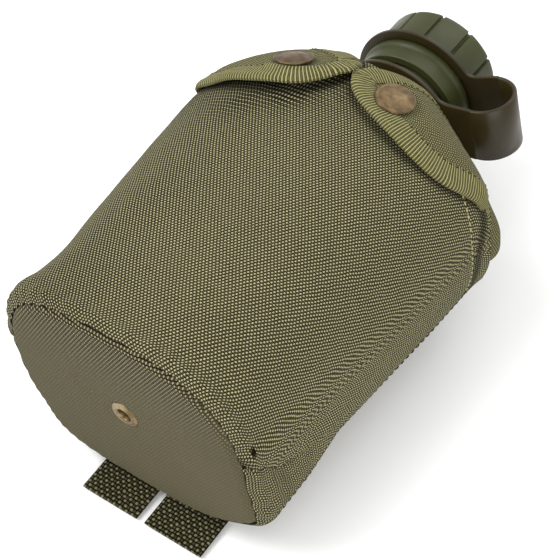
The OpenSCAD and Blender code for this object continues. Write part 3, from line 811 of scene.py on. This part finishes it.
def build_binding(side, name):
    rim = flap_rim(side, 260)
    into = inward_of(rim)
    width = BAND * smooth(0, 14, np.arange(260.0)) * (0.6 + 0.4 * smooth(0, 60, np.arange(260.0)))
    width = np.maximum(width, 2.5)
    section = [(1.0, 0.0), (1.0, 0.34), (0.85, 0.62), (0.55, 0.72), (0.25, 0.66), (0.08, 0.35), (-0.06, -0.5),
               (-0.06, -1.4), (0.08, -2.15), (0.3, -2.3), (0.7, -2.25), (0.72, -1.75), (0.3, -1.8),
               (0.12, -1.5), (0.05, -0.8), (0.12, -0.1), (0.5, -0.05)]
    rings = []
    for d, h in section:
        at = rim + into * (d * width)[:, None]
        base = flap_off(at[:, 0], at[:, 1], side)
        rings.append(flap_skin(at[:, 0], at[:, 1], base + h, side))
    rings = np.swapaxes(np.array(rings), 0, 1)
    if side > 0:
        rings = rings[:, ::-1]
    band = tube(f"{name}_flap_band", rings, MAT["binding"])
    fix_band_uv(band, rings)
    bend_flap(band)
    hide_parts(f"{name}_flap_binding")

    at = rim + into * (width * 0.93)[:, None]
    line = flap_skin(at[:, 0], at[:, 1], flap_off(at[:, 0], at[:, 1], side) + 0.35, side)
    normal = skin_axes(turned_u(at[:, 0], side), at[:, 1])[2]
    near_snap = np.hypot((at[:, 0] - SNAP_U[side]) * 0.95, at[:, 1] - SNAP_Y) < SNAP_R + 1.2
    keep = ~near_snap
    runs = np.split(np.arange(len(line)), np.where(np.diff(keep.astype(int)) != 0)[0] + 1)
    parts = [stitches("run", line[r], normal[r], MAT["thread"], 1.9, 0.8, 0.34, 0.02)
             for r in runs if keep[r[0]] and len(r) > 6]
    seam = join(f"{name}_flap_stitches", parts)
    bend_flap(seam)


def fix_band_uv(obj, rings):
    """Runs the band's threads along and across its edge."""
    m, n = rings.shape[:2]
    along = np.r_[0, np.cumsum(np.linalg.norm(np.diff(rings[:, 0], axis=0), axis=1))]
    around = np.cumsum(np.linalg.norm(rings - np.roll(rings, 1, 1), axis=2), axis=1)
    uvs = np.stack([np.broadcast_to(along[:, None], (m, n)), around], -1).reshape(-1, 2)
    index = np.empty(len(obj.data.loops), int)
    obj.data.loops.foreach_get("vertex_index", index)
    obj.data.uv_layers["weave"].data.foreach_set("uv", uvs.astype(np.float32)[index].ravel())


SNAP_SINK = 0.55          # middle of a snap cap's box above its flange's underside
CAD_SNAP_Y = 135.5


def build_snap_caps():
    r = SNAP_R - 0.5
    profile = [(0.01, 0.2), (1.7, 0.15), (r - 0.8, 0.15), (r - 0.25, 0.22), (r, 0.5), (r - 0.1, 0.85),
               (r - 0.45, 1.05), (r - 0.9, 1.0), (r - 1.3, 0.92), (r - 1.8, 1.05), (r - 3.0, 1.3),
               (r - 5, 1.5), (1.5, 1.6), (0.01, 1.6)]
    for side, name in ((1, "right"), (-1, "left")):
        lo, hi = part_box(f"{name}_snap_cap")
        centre = (np.array((lo + hi) / 2) - ORIGIN) / MM
        u, y = np.array([SNAP_U[side]]), np.array([SNAP_Y])
        square = unit_rows(skin(turned_u(u + 1, side), y) - skin(turned_u(u - 1, side), y))[0] * side
        normal = unit_rows(np.cross((0, 1, -LEAN[side] - 0.02), square))
        centre = centre - normal * (SNAP_SINK + SNAP_DROP[side]) - np.array([0, CAD_SNAP_Y - SNAP_Y, 0])
        snap = tube(f"{name}_snap_dome", turned(profile, centre, normal, 72), MAT["snap"], closed_path=True,
                    angle=60)
        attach(snap, f"{name}_flap")
        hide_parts(f"{name}_snap_cap")


# ---- lining ----

def build_lining():
    us = np.linspace(0, 360, 181)[None, :-1]
    def ring(y, off):
        """A ring that keeps inside the cloth where it is drawn in and where the flaps are tucked."""
        u = us[0]
        near = np.minimum(np.abs((u + 180) % 360 - 180), np.abs(u % 360 - 180))
        tuck = 2.4 * smooth(114, 120, y) * smooth(148, 141, y) * smooth(50, 34, near)
        return skin(u, y, off - tuck + np.minimum(slack(u, y), 0) * 1.1)
    out, inn = -CLOTH - LINING_GAP, -CLOTH - LINING_GAP - LINING_T
    ys = np.r_[np.linspace(2.4, 150, 40), np.linspace(151, 158, 6)]
    rings = [ring(y, out + 0.25 * wander(us[0], y + 0 * us[0], 9, 3.3)) for y in ys]
    rings += [ring(158.8, (out + inn) / 2)]
    rings += [ring(y, inn + 0.25 * wander(us[0], y + 0 * us[0], 9, 7.3)) for y in ys[::-1][:-1]]
    lining = tube("lining_sleeve", np.array(rings)[:, ::-1], MAT["lining"])
    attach(lining, "canteen")
    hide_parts("cover_lining")


# ---- webbing ----

def webbing(name, path, side_axis, lift_axis):
    """A strip of coarse webbing along a path: its crossings stand out as real bumps."""
    path = resample(np.asarray(path, float), int(np.linalg.norm(np.diff(path, axis=0), axis=1).sum() / 0.4))
    ahead = unit_rows(np.gradient(path, axis=0))
    side = np.broadcast_to(side_axis, path.shape)
    up = unit_rows(np.cross(side, ahead)) * lift_axis
    half = WEB_W / 2
    cols = np.linspace(-half, half, 73)
    along = np.r_[0, np.cumsum(np.linalg.norm(np.diff(path, axis=0), axis=1))]
    pitch_a, pitch_b = WEB_W / 18, 1.5
    a, b = np.meshgrid(cols, along)
    cross = np.sin(math.pi * (a + half) / pitch_a) * np.sin(math.pi * b / pitch_b)
    bumps = 0.3 * np.abs(cross) ** 0.5 - 0.2
    edge = smooth(half, half - 1.6, np.abs(a))
    lift = (WEB_T / 2 - 0.12) * np.sqrt(1 - (np.abs(a) / half) ** 14 * 0.75) + bumps * edge
    width = np.broadcast_to(cols[None, :, None], a.shape + (1,))
    top = path[:, None] + side[:, None] * width + up[:, None] * lift[..., None]
    under = path[:, None] + side[:, None] * width - up[:, None] * lift[..., None]
    rings = np.concatenate([top, under[:, ::-1]], 1)
    strip = tube(name, rings, MAT["webbing"])
    uv_a = np.concatenate([a, a[:, ::-1]], 1) + half
    uv_b = np.concatenate([b, b[:, ::-1]], 1)
    scale = WEB_ACROSS / pitch_a, WEB_ALONG / pitch_b
    uvs = np.stack([uv_a * scale[0], uv_b * scale[1]], -1).reshape(-1, 2)
    index = np.empty(len(strip.data.loops), int)
    strip.data.loops.foreach_get("vertex_index", index)
    strip.data.uv_layers["weave"].data.foreach_set("uv", uvs.astype(np.float32)[index].ravel())
    return strip


def build_straps():
    z_strap = -(BACK_DEPTH + 0.4 + WEB_T / 2)
    for side, name in ((1, "right"), (-1, "left")):
        x = side * GRID / 2
        slope = math.tan(math.radians(TAIL_SLOPE))
        line = [(x, y, z_strap) for y in np.arange(STRAP_TOP_Y, TAIL_Y, -2.0)]
        for reach in np.arange(0.0, TAIL_Y + TAIL_OUT + 0.1, 1.0):
            drift = TAIL_DRIFT[side] * float(smooth(-2, 36, reach))
            line.append((x + drift, TAIL_Y - reach, z_strap - 0.1 - reach * slope))
        strip = webbing(f"{name}_webbing_strap", np.array(line), (1.0, 0, 0), 1)
        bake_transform(strip)
        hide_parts(f"{name}_strap", f"{name}_strap_tail")


def build_rows():
    z_floor = -NECK_HEIGHT + WEB_T / 2
    z_tack = -(BACK_DEPTH + 0.3 + WEB_T / 2)
    crest = WEB_W / 2 + 1.5
    xs = np.linspace(-GRID - 3.5, GRID + 3.5, 260)
    away = np.abs(np.abs(xs) - GRID / 2)
    z = lerp(z_floor, z_tack, smooth(crest, GRID / 2 - 0.8, away))
    z = np.where(np.abs(xs) > GRID / 2, z + 2.2 * smooth(crest, GRID / 2 + 0.8, away), z)
    parts = []
    for y, row in zip(ROW_YS, ("lower", "upper")):
        path = np.stack([xs, np.full_like(xs, y), z], -1)
        strip = webbing(f"{row}_webbing_row", path, (0, 1.0, 0), -1)
        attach(strip, "canteen")
        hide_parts("webbing_rows")
        for x in (-GRID - 1.2, 0.0, GRID + 1.2):
            at = np.interp(x, xs, z)
            for shift in (-0.7, 0.7):
                line = np.stack([np.full(20, x + shift), np.linspace(y - 11.5, y + 11.5, 20),
                                 np.full(20, at - WEB_T / 2 - 0.1)], -1)
                down = np.tile((0, 0, -1.0), (20, 1))
                parts.append(stitches("tack", line, down, MAT["thread"], 2.2, 0.5, 0.36))
    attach(join("row_tack_stitches", parts), "canteen")


# ---- cap ----

def build_cap():
    r = CAP_R
    count = 432
    angles = np.arange(count) * 360 / count
    outer = [(20.7, 180.0), (23.4, 180.0), (23.65, 180.3), (23.8, 186.4), (24.5, 187.0), (24.85, 187.6),
             (24.85, 189.3), (24.5, 189.8), (23.1, 190.0), (23.0, 192.2), (24.6, 192.5), (25.0, 192.9)]
    grip = [(lerp(25.02, r, k / 12), lerp(193.2, CAP_TOP_Y - 2.2, k / 12)) for k in range(13)]
    top_y = CAP_TOP_Y
    crown = [(r - 0.15, top_y - 1.4), (r - 0.45, top_y - 0.8), (r - 1.1, top_y - 0.25), (r - 2.4, top_y),
             (r - 3.9, top_y - 0.1), (r - 4.6, top_y - 0.5), (r - 5.2, top_y - 0.8), (14, top_y - 0.75),
             (6, top_y - 0.7), (0.01, top_y - 0.7)]
    inner = [(0.01, 205.3), (20.6, 205.3), (20.65, 200), (20.7, 190)]
    profile = outer + grip + crown + inner
    near = np.abs((angles - 28 + 15) % 30 - 15) * math.radians(1) * r
    rings = []
    for radius, y in profile:
        depth = 1.3 * smooth(194.6, 196.2, y) * smooth(0.8, 0.4, near) * (radius > 23)
        rr = radius - depth
        turn = np.radians(angles)
        rings.append(np.stack([rr * np.cos(turn), np.full(count, y), rr * np.sin(turn)], -1))
    rings = np.array(rings)
    m, n = rings.shape[:2]
    last = len(outer) + len(grip) + len(crown) - 1
    faces = []
    for k in range(m):
        for i in range(n):
            j, ahead = (i + 1) % n, ((k + 1) % m) * n
            if k != last:
                faces.append((k * n + i, k * n + j, ahead + j, ahead + i))
    top = last * n
    faces += [tuple(top + i for i in range(n)), tuple(top + n + i for i in range(n - 1, -1, -1))]
    uvs = np.stack(np.broadcast_arrays(angles[None, :] * 0.4, np.arange(m)[:, None]), -1).reshape(-1, 2)
    cap = add_object("cap_body", rings.reshape(-1, 3), faces, uvs, MAT["cap"], 38)
    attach(cap, "cap")
    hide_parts("cap_shell")


# ---- strap ----

def strap_point(x, y, z):
    """From the strap's own axes, X along its loop, to the canteen's."""
    a = math.radians(STRAP_TURN)
    return np.stack([x * math.cos(a) - z * math.sin(a), y, x * math.sin(a) + z * math.cos(a)], -1)


def strap_plate(name, hole, rim, low, height_of):
    """A ring with a tab that runs out to the loop, with rounded edges."""
    bend = LOOP_REACH - LOOP_R
    half = STRAP_HALF
    phi = np.linspace(-180, 180, 240, endpoint=False)
    bare = np.abs(phi)
    straight = half / np.maximum(np.sin(np.radians(bare)), 0.05)
    straight = np.where(bare < 90, straight, 0)
    side = (straight ** 14 + rim ** 14) ** (1 / 14)
    reach = np.minimum(bend / np.maximum(np.cos(np.radians(bare)), 0.1), side)
    reach = np.where(bare < 80, reach, rim)
    t = STRAP_T
    rings = []
    section = [(0, 0.25), (0.0, t - 0.25), (0.03, t), (0.5, t), (0.92, t), (0.985, t - 0.12), (1.0, t - 0.45),
               (1.0, 0.45), (0.985, 0.12), (0.92, 0), (0.5, 0), (0.03, 0)]
    for share, up in section:
        radius = lerp(hole, reach, share)
        x, z = radius * np.cos(np.radians(phi)), radius * np.sin(np.radians(phi))
        rings.append(strap_point(x, low + up + height_of(x), z))
    rings = np.swapaxes(np.array(rings), 0, 1)
    return tube(name, rings[::-1], MAT["strap"], closed_path=True, angle=50)


def build_strap():
    bend = LOOP_REACH - LOOP_R
    lower = strap_plate("lower", 19.1, 26.4, NECK_RING_Y, lambda x: 0 * x)
    rise = NECK_RING_Y + 2 * LOOP_R - STRAP_T - GROOVE_Y
    upper = strap_plate("upper", 23.25, 28.2, GROOVE_Y, lambda x: rise * smooth(25, bend, x))
    angles = np.radians(np.linspace(-92, 92, 60))
    t, wide = STRAP_T, STRAP_HALF
    narrow = wide - 0.4
    corner = [(-wide, 0.45), (-wide, t - 0.45), (-narrow, t), (narrow, t), (wide, t - 0.45),
              (wide, 0.45), (narrow, 0), (-narrow, 0)]
    rings = []
    for a in angles:
        ring = []
        for z, depth in corner:
            radius = LOOP_R - depth
            ring.append(strap_point(np.array(bend + radius * math.cos(a)),
                                    np.array(NECK_RING_Y + LOOP_R + radius * math.sin(a)), np.array(z)))
        rings.append(np.array(ring))
    loop = tube("loop", np.array(rings)[:, ::-1], MAT["strap"], angle=50)
    strap = join("cap_strap", [lower, upper, loop])
    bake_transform(strap)
    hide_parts("strap_neck_ring", "strap_cap_ring")


# ---- what stays from the frame ----

def finish_frame():
    finishes = {"bottle_body": "bottle", "cap_liner": "liner", "drain_washer": "grommet"}
    for node in ("left_snap_socket", "right_snap_socket", "flap_snap_studs", "flap_snap_posts",
                 "left_tail_stud", "right_tail_stud", "tail_snap_sockets", "tail_snap_posts"):
        finishes[node] = "snap"
    for node, key in finishes.items():
        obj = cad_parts[node]
        for slot in obj.material_slots:
            slot.material = MAT[key]


# ---- floor, light and camera ----

def build_studio():
    scene = bpy.context.scene
    mesh = bpy.data.meshes.new("floor")
    mesh.from_pydata([(-3, -3, 0), (3, -3, 0), (3, 3, 0), (-3, 3, 0)], [], [(0, 1, 2, 3)])
    floor = bpy.data.objects.new("floor", mesh)
    scene.collection.objects.link(floor)
    pale = Shade("floor_paper", roughness=0.9)
    pale.finish((0.99, 0.99, 0.99, 1.0))
    mesh.materials.append(pale.mat)
    floor.location.z = -0.0004

    world = bpy.data.worlds.new("studio")
    world.use_nodes = True
    world.node_tree.nodes["Background"].inputs[0].default_value = (1, 1, 1, 1)
    world.node_tree.nodes["Background"].inputs[1].default_value = 0.8
    scene.world = world
    for name, where, size, power in (("key", (-0.55, -0.35, 0.95), 0.7, 9.5),
                                     ("fill", (0.9, -0.6, 0.6), 0.9, 6.0),
                                     ("rim", (0.1, 0.9, 0.7), 0.8, 3.5)):
        light = bpy.data.lights.new(name, "AREA")
        light.size = size
        light.energy = power
        lamp = bpy.data.objects.new(name, light)
        scene.collection.objects.link(lamp)
        lamp.location = where
        lamp.rotation_euler = (-Vector(where)).to_track_quat("-Z", "Y").to_euler()
    scene.view_settings.view_transform = "Standard"


CAMERA_TURNS = (40.09, 49.26, -6.66)      # azimuth, elevation and roll, degrees
CAMERA_TARGET = (3.9, 84.84, -12.38)      # mm, in the canteen's axes
CAMERA_DISTANCE = 0.51797                 # m
CAMERA_LENS = 88.22


def build_camera():
    """Looks down from the front right, past the bottom of the canteen."""
    azimuth, elevation, roll = (math.radians(v) for v in CAMERA_TURNS)
    target = Vector(place(CAMERA_TARGET))
    back = Vector((math.sin(azimuth) * math.cos(elevation), -math.cos(azimuth) * math.cos(elevation),
                   math.sin(elevation)))
    right = Vector((math.cos(azimuth), math.sin(azimuth), 0))
    up = back.cross(right)
    x_axis = right * math.cos(roll) + up * math.sin(roll)
    y_axis = up * math.cos(roll) - right * math.sin(roll)
    data = bpy.data.cameras.new("camera")
    data.sensor_width = 36.0
    data.lens = CAMERA_LENS
    camera = bpy.data.objects.new("camera", data)
    bpy.context.scene.collection.objects.link(camera)
    turn = Matrix((x_axis, y_axis, back)).transposed().to_4x4()
    camera.matrix_world = Matrix.Translation(target + back * CAMERA_DISTANCE) @ turn
    bpy.context.scene.camera = camera


build_camera()
build_studio()
build_front()
build_bar_tack()
build_back()
build_bottom()
build_drain()
build_lining()
for side, name in ((1, "right"), (-1, "left")):
    build_flap(side, name)
    build_binding(side, name)
build_snap_caps()
build_straps()
build_rows()
build_cap()
build_strap()
finish_frame()
